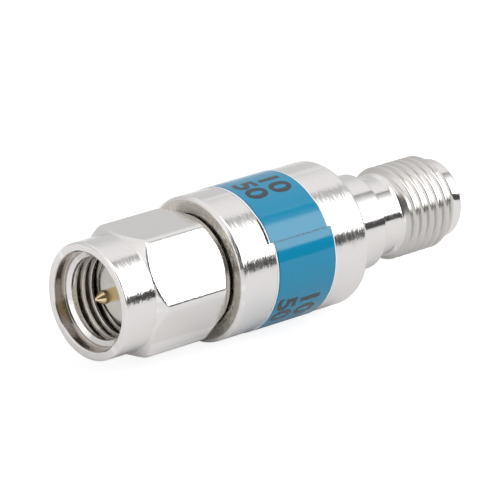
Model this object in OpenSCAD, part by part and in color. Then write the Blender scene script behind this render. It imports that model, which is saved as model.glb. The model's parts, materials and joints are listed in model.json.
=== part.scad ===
// Fixed coaxial attenuator: a plug with a captive hexagon nut at one end, a threaded jack at the other.
// The axis lies along X and the origin is on it, at the plug's reference plane.

/* [Coaxial line] */
// Diameter of the centre conductor inside the insulators
line_d = 1.27; // [1.2:0.01:1.4]
// Diameter of the insulators
insulator_d = 4.1; // [3.9:0.01:4.3]
// Diameter of the shoulder that keeps a conductor from sliding out
shoulder_d = 2; // [1.7:0.05:2.6]
// Length of that shoulder
shoulder_len = 0.4; // [0.3:0.05:0.8]

/* [Coupling thread] */
// Major diameter of the coupling thread
thread_d = 6.32; // [6.2:0.01:6.5]
// Pitch of the coupling thread
thread_pitch = 0.7056; // [0.65:0.0001:0.75]
// Flat on the crests of the nut's thread
nut_crest_flat = 0.18; // [0.12:0.01:0.2]
// Clearance of the nut's thread roots from the mating crests
root_gap = 0.03; // [0.02:0.01:0.04]

/* [Coupling nut] */
// Distance from the nut's mouth to the plug's reference plane
mouth_to_ref = 2.87; // [2.6:0.01:3.2]
// Depth of the smooth mouth ahead of the thread
mouth_depth = 0.85; // [0.6:0.01:1.2]
// Clearance of the smooth mouth round the mating thread
mouth_gap = 0.13; // [0.05:0.01:0.2]
// Wall of the round nose at the mouth
nose_wall = 0.61; // [0.4:0.01:0.7]
// Length of the round nose
nose_len = 2.45; // [2:0.05:3]
// Bevel on the edges of the nose
nose_bevel = 0.1; // [0.05:0.01:0.2]
// Distance across the hexagon's flats
hex_af = 8; // [7.9:0.05:9]
// Length of the hexagon
hex_len = 6; // [5.2:0.05:7]
// Angle of the chamfer at the hexagon's front, from a square face
hex_front_angle = 40; // [25:1:50]
// Angle of the chamfer at the hexagon's back, from a square face
hex_back_angle = 45; // [30:1:50]
// Diameter of the round collar behind the hexagon
nut_collar_d = 7.7; // [7:0.05:7.9]
// Length of that collar
nut_collar_len = 0.35; // [0.2:0.05:0.6]
// Running clearance of the nut round the barrel's neck
nut_run = 0.06; // [0.03:0.01:0.09]
// Gap between the nut and the body at rest
nut_gap = 0.18; // [0.15:0.01:0.4]
// Play of the nut towards the mouth
play_front = 0.25; // [0.1:0.01:0.4]
// Play of the nut towards the body
play_back = 0.1; // [0.05:0.01:0.12]

/* [Retaining ring] */
// Width of the ring along the axis
ring_w = 0.6; // [0.4:0.05:0.8]
// Thickness of the ring across its section
ring_t = 0.38; // [0.3:0.01:0.45]
// Depth to which the ring sits inside the barrel's neck
ring_bite = 0.16; // [0.1:0.01:0.2]
// Distance from the slim front of the barrel to the ring
ring_setback = 0.7; // [0.6:0.05:1]
// Opening of the split in the ring
ring_split = 1.2; // [0.6:0.1:2]
// Clearance of the ring in the nut's groove
ring_gap = 0.03; // [0.02:0.01:0.06]

/* [Plug] */
// Diameter of the mating pin
pin_d = 0.92; // [0.9:0.01:0.94]
// Reach of the pin ahead of the reference plane
pin_reach = 2.17; // [1.9:0.01:2.5]
// Length of the pin's conical tip
pin_cone = 0.55; // [0.3:0.05:0.8]
// Diameter of the flat at the point of the pin
pin_point_d = 0.16; // [0.1:0.01:0.3]
// Recess of the pin's root behind the reference plane
pin_recess = 0.04; // [0:0.01:0.1]
// Wall of the barrel's slim front
barrel_wall = 0.25; // [0.2:0.01:0.35]
// Length of the barrel's slim front
barrel_len = 2.9; // [2.6:0.05:3.3]
// Wall of the barrel's neck, which carries the nut
neck_wall = 0.57; // [0.5:0.01:0.65]
// Depth of the ring's groove in the neck
groove_depth = 0.37; // [0.3:0.01:0.4]
// Wall of the spigot that is pressed into the body
spigot_wall = 0.4; // [0.3:0.01:0.5]
// Length of the plug's front insulator
plug_insulator_len = 4; // [3.5:0.1:4.6]

/* [Body] */
// Diameter of the body
body_d = 9.77; // [9.4:0.01:10.4]
// Length of the body
body_len = 11.1; // [10:0.1:14]
// Bevel on the edges of the body
body_bevel = 0.2; // [0.1:0.01:0.3]
// Wall of the body round its cavity
body_wall = 0.9; // [0.7:0.05:1.1]
// Thickness of the body's front wall
front_wall = 1.6; // [1.2:0.1:2]

/* [Attenuator chip] */
// Thickness of the chip
chip_t = 0.5; // [0.3:0.05:0.6]
// Gap between each end of the chip and the cavity's end
chip_gap = 0.6; // [0.4:0.05:1]
// Length of chip that each split conductor end grips
chip_grip = 0.6; // [0.4:0.05:0.8]
// Width of each chip edge that the clamps hold
chip_ledge = 0.5; // [0.3:0.05:0.7]
// Air gap round the conductors in the clamps
channel_gap = 0.45; // [0.3:0.05:0.6]
// Clearance of the clamps in the body
clamp_gap = 0.02; // [0.01:0.01:0.05]

/* [Label] */
// Width of the tape
label_w = 5.14; // [4:0.02:6]
// Thickness of the tape
label_t = 0.05; // [0.03:0.01:0.1]
// Distance from the body's front face to the tape, where the wrap starts
label_setback = 3.05; // [2:0.05:4]
// Drift of the wrap towards the plug over one turn
label_drift = 0.38; // [0:0.02:0.6]
// Angle of the butt seam round the axis, from +Y towards +Z
label_seam = 152; // [0:1:359]

/* [Jack] */
// Length of the flange that closes the body
flange_len = 2.2; // [1.6:0.1:2.8]
// Diameter of the round collar next to the body
collar_d = 6.5; // [6.2:0.02:7]
// Length of that collar
collar_len = 3.25; // [2.5:0.05:4]
// Wall of the slim relief between collar and thread
relief_wall = 0.6; // [0.5:0.01:0.7]
// Length of that relief
relief_len = 2; // [1.2:0.05:2.5]
// Length of the slope from the relief up to the thread
thread_rise = 0.45; // [0.15:0.05:0.6]
// Length of the thread with both of its slopes
jack_thread_len = 4.65; // [4:0.05:6]
// Length of the slope from the thread down to the plain end
thread_fall = 0.45; // [0.3:0.05:0.6]
// Wall of the plain end
pilot_wall = 0.41; // [0.3:0.01:0.45]
// Length of the plain end
pilot_len = 0.8; // [0.5:0.05:1.2]
// Bevel on the edges of the plain end
pilot_bevel = 0.12; // [0.05:0.01:0.15]
// Clearance of the jack's bore round a mating barrel
jack_bore_gap = 0.01; // [0.005:0.005:0.03]
// Depth of the jack's bore to its reference plane
jack_bore_depth = 1.95; // [1.7:0.01:2.1]
// Length of the jack's front insulator
jack_insulator_len = 6.4; // [5:0.1:8]
// Clearance of the socket round a mating pin
socket_gap = 0.01; // [0.005:0.005:0.03]
// Spare depth of the socket behind a mating pin
socket_spare = 0.3; // [0.2:0.05:0.6]
// Width of the slots that split the socket
slot_w = 0.14; // [0.1:0.01:0.18]
// Length of those slots
slot_len = 1.9; // [1.4:0.05:2.2]

/* [Hidden] */

// Room that a cut takes past the face it opens
past = 1;
// Clearance left at the ends of the nut's play
play_clear = 0.02;
// Share of the pitch from the major to the minor radius of the inner thread
thread_depth_share = 0.5413;
// Angle of the thread's flanks, from a square face
flank_angle = 30;
// Sections in one turn of a thread groove
groove_steps = 24;
// Height to which a groove's cutter stands inside the crests
groove_over = 0.05;
// Sections round the label
label_steps = 96;
// Gap at the label's butt seam, in degrees
label_seam_gap = 0.3;

nickel = [0.79, 0.78, 0.76];
gold = [0.86, 0.7, 0.36];
fluoropolymer = [0.93, 0.92, 0.87];
tape_blue = [0.16, 0.5, 0.68];
alumina = [0.95, 0.94, 0.9];
spring_bronze = [0.72, 0.5, 0.32];

// Radii, from the axis outwards
line_r = line_d / 2;
pin_r = pin_d / 2;
insulator_r = insulator_d / 2;
shoulder_r = shoulder_d / 2;
barrel_r = insulator_r + barrel_wall;
neck_r = insulator_r + neck_wall;
spigot_r = insulator_r + spigot_wall;
groove_r = neck_r - groove_depth;
ring_in_r = neck_r - ring_bite;
ring_out_r = ring_in_r + ring_t;
thread_r = thread_d / 2;
nut_thread_r = thread_r - thread_depth_share * thread_pitch;
nut_root_r = thread_r + root_gap;
nut_bore_r = neck_r + nut_run;
nut_groove_r = ring_out_r + ring_gap;
mouth_r = thread_r + mouth_gap;
nose_r = mouth_r + nose_wall;
hex_corner_r = hex_af / 2 / cos(30);
nut_collar_r = nut_collar_d / 2;
body_r = body_d / 2;
cavity_r = body_r - body_wall;
collar_r = collar_d / 2;
relief_r = insulator_r + relief_wall;
jack_bore_r = barrel_r + jack_bore_gap;
pilot_r = jack_bore_r + pilot_wall;
socket_r = pin_r + socket_gap;

// Places along the axis, from the plug to the jack
mouth_x = -mouth_to_ref;
hex_front_x = mouth_x + nose_len;
hex_back_x = hex_front_x + hex_len;
nut_back_x = hex_back_x + nut_collar_len;
ring_x = barrel_len + ring_setback;
ring_back_x = ring_x + ring_w;
nut_thread_end_x = barrel_len - play_back - play_clear - ring_gap;
body_front_x = nut_back_x + nut_gap;
cavity_front_x = body_front_x + front_wall;
body_back_x = body_front_x + body_len;
cavity_back_x = body_back_x - flange_len;
collar_back_x = body_back_x + collar_len;
relief_back_x = collar_back_x + relief_len;
thread_back_x = relief_back_x + jack_thread_len;
jack_end_x = thread_back_x + pilot_len;
jack_ref_x = jack_end_x - jack_bore_depth;

// Sizes of the chip and of the channel round it
channel_r = line_r + channel_gap;
chip_w = 2 * (channel_r + chip_ledge);
chip_front_x = cavity_front_x + chip_gap;
chip_back_x = cavity_back_x - chip_gap;
chip_len = chip_back_x - chip_front_x;

// A solid turned about the X axis from points given as [radius, x]
module turned(points) {
  rotate([0, 90, 0]) rotate_extrude($fn = 96) polygon(points);
}

// A round bar or, with an inner radius, a tube along X
module bar(from_x, to_x, outer_r, inner_r = 0) {
  turned([[inner_r, from_x], [outer_r, from_x], [outer_r, to_x], [inner_r, to_x]]);
}

// Points given as [radius, x], set at an angle round the X axis
function at_angle(points, angle) = [for (p = points) [p[1], p[0] * cos(angle), p[0] * sin(angle)]];

// A strip swept through sections of four points each
module swept(sections) {
  points = [for (section = sections) each section];
  last = len(points) - 4;
  sides = [for (i = [0:4:last - 4], k = [0:3])
    let (a = i + k, b = i + (k + 1) % 4)
    each [[a, b, b + 4], [a, b + 4, a + 4]]];
  ends = [[3, 2, 1], [3, 1, 0], [last, last + 1, last + 2], [last, last + 2, last + 3]];
  polyhedron(points, concat(sides, ends));
}

// Cutter for the groove of a right-hand inner thread, wide just inside the crests and narrow at its root
module thread_groove(crest_r, root_r, flat, from_x, to_x) {
  wide_r = crest_r - groove_over;
  wide = (thread_pitch - flat) / 2 + groove_over * tan(flank_angle);
  narrow = wide - (root_r - wide_r) * tan(flank_angle);
  steps = ceil((to_x - from_x) / thread_pitch * groove_steps);
  swept([for (i = [0:steps])
    let (x = from_x + i * thread_pitch / groove_steps)
    at_angle([[wide_r, x - wide], [root_r, x - narrow], [root_r, x + narrow], [wide_r, x + wide]],
             i * 360 / groove_steps)]);
}

// A conductor's split end: a slot that takes the chip, open towards the chip
module chip_slot(from_x, to_x) {
  translate([from_x, -line_d, -chip_t / 2]) cube([to_x - from_x, 2 * line_d, chip_t]);
}

// The nut's hexagon with its corners turned off at both ends
module nut_hexagon() {
  outside_r = hex_corner_r + past;
  back_face_r = hex_af / 2;
  intersection() {
    translate([hex_front_x, 0, 0]) rotate([0, 90, 0]) rotate([0, 0, 30])
      cylinder(h = hex_len, r = hex_corner_r, $fn = 6);
    turned([
      [0, hex_front_x], [nose_r, hex_front_x],
      [outside_r, hex_front_x + (outside_r - nose_r) * tan(hex_front_angle)],
      [outside_r, hex_back_x - (outside_r - back_face_r) * tan(hex_back_angle)],
      [back_face_r, hex_back_x], [0, hex_back_x]
    ]);
  }
}

// The nut's inside: smooth mouth, bore at the thread's crests, ring groove and running bore
module nut_inside() {
  thread_x = mouth_x + mouth_depth + (mouth_r - nut_thread_r);
  turned([
    [0, mouth_x - past], [mouth_r + nose_bevel + past, mouth_x - past],
    [mouth_r + nose_bevel, mouth_x], [mouth_r, mouth_x + nose_bevel],
    [mouth_r, mouth_x + mouth_depth], [nut_thread_r, thread_x],
    [nut_thread_r, nut_thread_end_x], [nut_bore_r, nut_thread_end_x],
    [nut_bore_r, ring_x - ring_gap], [nut_groove_r, ring_x - ring_gap],
    [nut_groove_r, ring_back_x + ring_gap], [nut_bore_r, ring_back_x + ring_gap],
    [nut_bore_r, nut_back_x + past], [0, nut_back_x + past]
  ]);
}

// The groove of the nut's thread, stopped ahead of the barrel's neck
module nut_thread() {
  intersection() {
    thread_groove(nut_thread_r, nut_root_r, nut_crest_flat,
                  mouth_x + mouth_depth - thread_pitch, nut_thread_end_x + thread_pitch);
    bar(mouth_x - past, nut_thread_end_x, nose_r);
  }
}

module coupling_nut() {
  hex_middle_x = hex_front_x + hex_len / 2;
  color(nickel) difference() {
    union() {
      turned([
        [0, mouth_x], [nose_r - nose_bevel, mouth_x], [nose_r, mouth_x + nose_bevel],
        [nose_r, hex_middle_x], [nut_collar_r, hex_middle_x], [nut_collar_r, nut_back_x], [0, nut_back_x]
      ]);
      nut_hexagon();
    }
    nut_inside();
    nut_thread();
  }
}

module retaining_ring() {
  color(spring_bronze) difference() {
    bar(ring_x, ring_back_x, ring_out_r, ring_in_r);
    translate([ring_x - past, -ring_split / 2, -ring_out_r - past])
      cube([ring_w + 2 * past, ring_split, ring_out_r + past]);
  }
}

// The plug's outer conductor: slim front, grooved neck and pressed spigot
module plug_barrel() {
  groove_front_x = ring_x - play_front - play_clear;
  groove_back_x = ring_back_x + play_back + play_clear;
  color(nickel) turned([
    [insulator_r, 0], [barrel_r, 0], [barrel_r, barrel_len], [neck_r, barrel_len],
    [neck_r, groove_front_x], [groove_r, groove_front_x],
    [groove_r, groove_back_x], [neck_r, groove_back_x],
    [neck_r, body_front_x], [spigot_r, body_front_x],
    [spigot_r, cavity_front_x], [insulator_r, cavity_front_x]
  ]);
}

module plug_front_insulator() {
  color(fluoropolymer) bar(0, plug_insulator_len, insulator_r, line_r);
}

module plug_rear_insulator() {
  color(fluoropolymer)
    bar(plug_insulator_len + shoulder_len, cavity_front_x, insulator_r, line_r);
}

module plug_pin() {
  shoulder_x = plug_insulator_len;
  color(gold) difference() {
    turned([
      [0, -pin_reach], [pin_point_d / 2, -pin_reach], [pin_r, -pin_reach + pin_cone],
      [pin_r, pin_recess], [line_r, pin_recess],
      [line_r, shoulder_x], [shoulder_r, shoulder_x],
      [shoulder_r, shoulder_x + shoulder_len], [line_r, shoulder_x + shoulder_len],
      [line_r, chip_front_x + chip_grip], [0, chip_front_x + chip_grip]
    ]);
    chip_slot(chip_front_x, chip_front_x + chip_grip + past);
  }
}

module body_sleeve() {
  color(nickel) turned([
    [spigot_r, body_front_x], [body_r - body_bevel, body_front_x],
    [body_r, body_front_x + body_bevel], [body_r, body_back_x - body_bevel],
    [body_r - body_bevel, body_back_x], [cavity_r, body_back_x],
    [cavity_r, cavity_front_x], [spigot_r, cavity_front_x]
  ]);
}

// The label: one turn of tape that drifts along the body and meets itself at a butt seam
function label_section(i) =
  let (turn = i / label_steps,
       angle = label_seam + label_seam_gap / 2 + turn * (360 - label_seam_gap),
       x = body_front_x + label_setback - label_drift * turn,
       // the tape's flat sections lie just clear of the round body
       inner = body_r / cos(180 / label_steps),
       outer = inner + label_t)
  at_angle([[inner, x], [outer, x], [outer, x + label_w], [inner, x + label_w]], angle);

module label_tape() {
  color(tape_blue) swept([for (i = [0:label_steps]) label_section(i)]);
}

// Half of the split clamp, above or below the chip, with its air channel
module clamp_half(side) {
  clamp_r = cavity_r - clamp_gap;
  clamp_len = cavity_back_x - cavity_front_x;
  translate([cavity_front_x, 0, 0]) intersection() {
    bar(0, clamp_len, clamp_r, channel_r);
    translate([-past, -body_r, side > 0 ? chip_t / 2 : chip_t / 2 - body_d])
      cube([clamp_len + 2 * past, body_d, body_d]);
  }
}

module chip_clamp_upper() {
  color(nickel) clamp_half(1);
}

// The lower half has the pocket that the chip lies in
module chip_clamp_lower() {
  color(nickel) difference() {
    clamp_half(-1);
    translate([cavity_front_x - past, -chip_w / 2, -chip_t / 2])
      cube([cavity_back_x - cavity_front_x + 2 * past, chip_w, chip_t + past]);
  }
}

module attenuator_chip() {
  color(alumina) translate([chip_front_x, -chip_w / 2, -chip_t / 2]) cube([chip_len, chip_w, chip_t]);
}

// The jack's outer conductor: flange, collar, relief, thread at its major diameter and plain end
module jack_shell() {
  color(nickel) turned([
    [insulator_r, cavity_back_x], [cavity_r, cavity_back_x], [cavity_r, body_back_x],
    [collar_r, body_back_x], [collar_r, collar_back_x],
    [relief_r, collar_back_x], [relief_r, relief_back_x],
    [thread_r, relief_back_x + thread_rise], [thread_r, thread_back_x - thread_fall],
    [pilot_r, thread_back_x], [pilot_r, jack_end_x - pilot_bevel],
    [pilot_r - pilot_bevel, jack_end_x], [jack_bore_r + pilot_bevel, jack_end_x],
    [jack_bore_r, jack_end_x - pilot_bevel], [jack_bore_r, jack_ref_x], [insulator_r, jack_ref_x]
  ]);
}

module jack_front_insulator() {
  color(fluoropolymer) bar(jack_ref_x - jack_insulator_len, jack_ref_x, insulator_r, line_r);
}

module jack_rear_insulator() {
  color(fluoropolymer)
    bar(cavity_back_x, jack_ref_x - jack_insulator_len - shoulder_len, insulator_r, line_r);
}

// The jack's centre contact: a slotted socket in front, a split end on the chip behind
module jack_contact() {
  shoulder_x = jack_ref_x - jack_insulator_len;
  socket_x = jack_ref_x - pin_reach - socket_spare;
  color(gold) difference() {
    turned([
      [0, chip_back_x - chip_grip], [line_r, chip_back_x - chip_grip],
      [line_r, shoulder_x - shoulder_len], [shoulder_r, shoulder_x - shoulder_len],
      [shoulder_r, shoulder_x], [line_r, shoulder_x],
      [line_r, jack_ref_x], [socket_r, jack_ref_x], [socket_r, socket_x], [0, socket_x]
    ]);
    chip_slot(chip_back_x - chip_grip - past, chip_back_x);
    for (turn = [0, 90])
      rotate([turn, 0, 0]) translate([jack_ref_x - slot_len, -line_d, -slot_w / 2])
        cube([slot_len + past, 2 * line_d, slot_w]);
  }
}

coupling_nut();
retaining_ring();
plug_barrel();
plug_front_insulator();
plug_rear_insulator();
plug_pin();
body_sleeve();
label_tape();
chip_clamp_upper();
chip_clamp_lower();
attenuator_chip();
jack_shell();
jack_front_insulator();
jack_rear_insulator();
jack_contact();
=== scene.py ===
"""Dresses a fixed coaxial attenuator: fine meshes, finishes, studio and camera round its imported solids."""

import json
import logging
import math
from collections.abc import Sequence
from dataclasses import dataclass
from enum import Enum

import bmesh
import bpy
import numpy as np
from mathutils import Matrix, Vector


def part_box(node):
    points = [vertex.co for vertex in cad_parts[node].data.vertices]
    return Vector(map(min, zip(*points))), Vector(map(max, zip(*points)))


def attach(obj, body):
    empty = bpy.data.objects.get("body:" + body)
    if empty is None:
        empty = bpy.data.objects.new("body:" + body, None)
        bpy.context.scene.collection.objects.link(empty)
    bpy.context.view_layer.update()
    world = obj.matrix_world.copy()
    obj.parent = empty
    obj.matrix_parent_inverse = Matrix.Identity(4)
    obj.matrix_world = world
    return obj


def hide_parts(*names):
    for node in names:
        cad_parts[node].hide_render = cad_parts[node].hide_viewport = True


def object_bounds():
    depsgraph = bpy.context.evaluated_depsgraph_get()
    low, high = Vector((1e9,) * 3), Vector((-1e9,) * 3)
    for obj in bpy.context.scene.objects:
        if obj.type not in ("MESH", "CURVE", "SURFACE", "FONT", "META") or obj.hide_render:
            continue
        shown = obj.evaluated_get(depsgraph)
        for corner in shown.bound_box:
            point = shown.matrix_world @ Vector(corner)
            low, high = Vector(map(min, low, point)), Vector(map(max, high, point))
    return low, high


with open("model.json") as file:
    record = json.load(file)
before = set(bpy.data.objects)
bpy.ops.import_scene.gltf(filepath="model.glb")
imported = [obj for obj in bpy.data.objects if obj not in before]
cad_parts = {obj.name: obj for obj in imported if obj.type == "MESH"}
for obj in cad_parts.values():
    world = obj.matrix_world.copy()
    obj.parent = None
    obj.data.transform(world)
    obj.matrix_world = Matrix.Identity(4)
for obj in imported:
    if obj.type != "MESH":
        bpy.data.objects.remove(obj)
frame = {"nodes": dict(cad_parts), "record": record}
CAD_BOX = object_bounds()

LOG = logging.getLogger("attenuator")

# Metres in a millimetre: every size below is in millimetres
MM = 0.001
# Points that a filleted corner is drawn with, less one
FILLET_STEPS = 4
# Share of a neighbouring edge that a fillet may use up, and the share that its support row may reach
FILLET_SHARE = 0.45
SUPPORT_SHARE = 0.49
# Distance from a fillet to the row of points that keeps the face beside it flat in the shading
SUPPORT = 0.03
# Edges that turn more than this, in degrees, are drawn sharp
SHARP_TURN = 40
# Points closer than this are one point
WELD = 0.0002
# Angles round a turned piece
ROUND_STEPS = 216
# Rise of both threads in one turn
THREAD_PITCH = 0.7056
# Reach of a saw cut past the end that it opens
SAW_OVER = 1

Length = float | np.ndarray
Colour = tuple[float, float, float]
Span = tuple[float, float]
Cut = tuple[Sequence[float], Sequence[float]]
Socket = bpy.types.NodeSocket


class Body(Enum):
    """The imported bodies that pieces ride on."""

    MAIN = "attenuator_body"
    NUT = "nut"


class ThreadSide(Enum):
    """Which way a thread's crests point from its roots."""

    OUTER = 1
    INNER = -1


class Grain(Enum):
    """How a metal surface was worked: marks per millimetre and their depth in millimetres."""

    TURNED = (5.5, 0.02)
    FINE = (9.0, 0.0016)
    POLISHED = (6.0, 0.0006)


class Edge(float, Enum):
    """Fillets that a turned piece's edges are finished with, in millimetres."""

    CRISP = 0.02
    DEBURRED = 0.03
    BROKEN = 0.04
    EASED = 0.05
    SOFT = 0.06
    ROUND = 0.08
    BROAD = 0.1


@dataclass(frozen=True)
class Corner:
    """A corner of a turned section: its place along the axis, its radius and its fillet."""

    x: Length
    r: Length
    fillet: float = 0.0

    def first(self, angles: np.ndarray) -> np.ndarray:
        """The corner at each angle, as rows of x and radius."""
        return np.column_stack([np.full(len(angles), self.x), np.full(len(angles), self.r)])

    def last(self, angles: np.ndarray) -> np.ndarray:
        """The same as first, because a corner is one place."""
        return self.first(angles)

    def rows(self, angles: np.ndarray, before: np.ndarray, after: np.ndarray) -> list[np.ndarray]:
        """Draws the corner, as a short curve where it has a fillet.

        Args:
            angles: Angles round the axis.
            before: Place that the section comes from, at each angle.
            after: Place that the section goes on to, at each angle.

        Returns:
            One array of x and radius per row of points.
        """
        here = self.first(angles)
        if self.fillet == 0:
            return [here]
        back, back_len = unit(before - here)
        on, on_len = unit(after - here)
        half = np.arccos(np.clip((back * on).sum(1), -1, 1)) / 2
        reach = self.fillet / np.maximum(np.tan(half), 1e-6)
        reach = np.minimum(reach, FILLET_SHARE * np.minimum(back_len, on_len))
        outer_back = np.minimum(reach + SUPPORT, SUPPORT_SHARE * back_len)[:, None]
        outer_on = np.minimum(reach + SUPPORT, SUPPORT_SHARE * on_len)[:, None]
        steps = np.linspace(0, 1, FILLET_STEPS + 1)
        curve = [here + reach[:, None] * ((1 - t) ** 2 * back + t**2 * on) for t in steps]
        return [here + outer_back * back, *curve, here + outer_on * on]


def unit(vectors: np.ndarray) -> tuple[np.ndarray, np.ndarray]:
    """Splits vectors into directions and lengths.

    Args:
        vectors: One vector per row.

    Returns:
        The unit vectors, and their lengths.
    """
    lengths = np.linalg.norm(vectors, axis=1)
    return vectors / np.maximum(lengths, 1e-9)[:, None], lengths


def outline(corners: Sequence[Corner]) -> np.ndarray:
    """Draws an open run of corners with their fillets.

    Args:
        corners: The corners in order.

    Returns:
        Rows of x and radius.
    """
    one = np.zeros(1)
    places = [corner.first(one) for corner in corners]
    points = [places[0][0]]
    for i in range(1, len(corners) - 1):
        points += [row[0] for row in corners[i].rows(one, places[i - 1], places[i + 1])[1:-1]]
    return np.array([*points, places[-1][0]])


@dataclass(frozen=True)
class ThreadForm:
    """A right-hand thread with 60 degree flanks and softened crests and roots."""

    crest_r: float
    side: ThreadSide
    depth_share: float = 0.584
    crest_share: float = 0.25
    soft: float = 0.02
    pitch: float = THREAD_PITCH
    half_angle: float = 30

    def turn(self) -> np.ndarray:
        """Draws one pitch of the thread, from a root's middle to the next.

        Returns:
            Rows of x and radius.
        """
        depth = self.depth_share * self.pitch
        flank = depth * math.tan(math.radians(self.half_angle))
        crest = self.crest_share * self.pitch
        root_r = self.crest_r - self.side.value * depth
        middle = self.pitch / 2
        near, far = crest / 2, crest / 2 + flank
        return outline([
            Corner(0, root_r),
            Corner(middle - far, root_r, self.soft),
            Corner(middle - near, self.crest_r, self.soft),
            Corner(middle + near, self.crest_r, self.soft),
            Corner(middle + far, root_r, self.soft),
            Corner(self.pitch, root_r),
        ])[:-1]

    def radius(self, x: np.ndarray) -> np.ndarray:
        """The thread's radius at places along its own helix."""
        turn = self.turn()
        return np.interp(x % self.pitch, turn[:, 0], turn[:, 1], period=self.pitch)

    def bounded(self, x: np.ndarray, envelope_r: np.ndarray) -> np.ndarray:
        """The thread's radius where a plain turned surface cuts it off.

        Args:
            x: Places along the thread's helix.
            envelope_r: Radius of the plain surface at those places.

        Returns:
            The radius that is left.
        """
        pick = np.minimum if self.side is ThreadSide.OUTER else np.maximum
        return pick(self.radius(x), envelope_r)


@dataclass(frozen=True)
class ThreadRun:
    """A stretch of thread in a section, cut off by a plain turned envelope and deepening from its start."""

    form: ThreadForm
    start: float
    end: float
    envelope: np.ndarray
    run_in: Span = (-1, 0)

    def ring(self, x: np.ndarray, angles: np.ndarray) -> np.ndarray:
        """Draws one row of points, held between the thread's ends.

        Args:
            x: Places along the axis.
            angles: Angle of each place round the axis.

        Returns:
            Rows of x and radius.
        """
        x = np.clip(x, self.start, self.end)
        along, radii = self.envelope.T
        plain = np.interp(x, along, radii)
        rise = self.form.pitch * angles / math.tau
        cut = self.form.bounded(x - rise - self.start, plain) - plain
        share = np.interp(x - self.start, self.run_in, (0, 1))
        return np.column_stack([x, plain + cut * share])

    def first(self, angles: np.ndarray) -> np.ndarray:
        """The row where the section meets the thread."""
        return self.ring(np.full(len(angles), self.start), angles)

    def last(self, angles: np.ndarray) -> np.ndarray:
        """The row where the section leaves the thread."""
        return self.ring(np.full(len(angles), self.end), angles)

    def helix(self, angles: np.ndarray) -> tuple[list[np.ndarray], list[int]]:
        """Draws the thread with rows that climb along its helix.

        Args:
            angles: Angles round the axis, from 0 up to a full turn.

        Returns:
            The rows, and for each the row that it runs into after one turn.
        """
        turn = self.form.turn()[:, 0]
        count = len(turn)
        turns = math.ceil((self.end - self.start) / self.form.pitch) + 1
        rise = self.form.pitch * angles / math.tau
        last = turns * count
        rows, jumps = [], []
        for k in range(last + 1):
            x = self.start + (k // count - 1) * self.form.pitch + turn[k % count] + rise
            rows.append(self.ring(x, angles))
            jumps.append(min(k + count, last))
        return rows, jumps


Section = Sequence[Corner | ThreadRun]


def finished_object(name: str, verts: np.ndarray, faces: Sequence[Sequence[int]]) -> bpy.types.Object:
    """Welds points and faces into one smooth mesh object.

    Args:
        name: The object's name.
        verts: Points in millimetres.
        faces: Indices of each face's points.

    Returns:
        The object, linked to the scene.
    """
    mesh = bpy.data.meshes.new(name)
    mesh.from_pydata((verts * MM).tolist(), [], faces)
    bm = bmesh.new()
    bm.from_mesh(mesh)
    bmesh.ops.remove_doubles(bm, verts=bm.verts, dist=WELD * MM)
    bmesh.ops.delete(bm, geom=[e for e in bm.edges if not e.link_faces], context="EDGES")
    bmesh.ops.recalc_face_normals(bm, faces=bm.faces)
    bm.to_mesh(mesh)
    bm.free()
    mesh.shade_smooth()
    mesh.set_sharp_from_angle(angle=math.radians(SHARP_TURN))
    obj = bpy.data.objects.new(name, mesh)
    bpy.context.scene.collection.objects.link(obj)
    return obj


def turned(name: str, section: Section, angles: np.ndarray | None = None) -> bpy.types.Object:
    """Turns a closed section about the X axis.

    Args:
        name: The object's name.
        section: Corners and threads in order, the last running back to the first.
        angles: Angles round the axis, even ones if left out.

    Returns:
        The object.
    """
    if angles is None:
        angles = np.arange(ROUND_STEPS) * math.tau / ROUND_STEPS
    rows, seam = [], []
    for i, item in enumerate(section):
        start = len(rows)
        if isinstance(item, ThreadRun):
            block, jumps = item.helix(angles)
        else:
            after = section[(i + 1) % len(section)]
            block = item.rows(angles, section[i - 1].last(angles), after.first(angles))
            jumps = range(len(block))
        rows += block
        seam += [start + j for j in jumps]
    grid = np.array(rows)
    x, r = grid[..., 0], grid[..., 1]
    verts = np.stack([x, r * np.cos(angles), r * np.sin(angles)], axis=-1).reshape(-1, 3)
    count = len(angles)
    faces = []
    for i in range(len(rows)):
        k = (i + 1) % len(rows)
        here, there = i * count, k * count
        faces += [(here + j, there + j, there + j + 1, here + j + 1) for j in range(count - 1)]
        faces.append((here + count - 1, there + count - 1, seam[k] * count, seam[i] * count))
    return finished_object(name, verts, faces)


def box_points(low: Sequence[float], high: Sequence[float]) -> np.ndarray:
    """The eight corners of a box, x slowest."""
    ends = list(zip(low, high))
    return np.array([[x, y, z] for x in ends[0] for y in ends[1] for z in ends[2]])


BOX_FACES = ((0, 1, 3, 2), (4, 6, 7, 5), (0, 4, 5, 1), (2, 3, 7, 6), (0, 2, 6, 4), (1, 5, 7, 3))


def sawn(obj: bpy.types.Object, cuts: Sequence[Cut]) -> None:
    """Saws box-shaped slots out of an object.

    Args:
        obj: The object, whose mesh is replaced.
        cuts: Lowest and highest corner of each slot.
    """
    for low, high in cuts:
        saw = finished_object("saw", box_points(low, high), BOX_FACES)
        cut = obj.modifiers.new("slot", "BOOLEAN")
        cut.object = saw
        cut.solver = "EXACT"
        held = bpy.context.evaluated_depsgraph_get()
        obj.data = bpy.data.meshes.new_from_object(obj.evaluated_get(held))
        obj.modifiers.clear()
        bpy.data.objects.remove(saw)
    obj.data.set_sharp_from_angle(angle=math.radians(SHARP_TURN))


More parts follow.
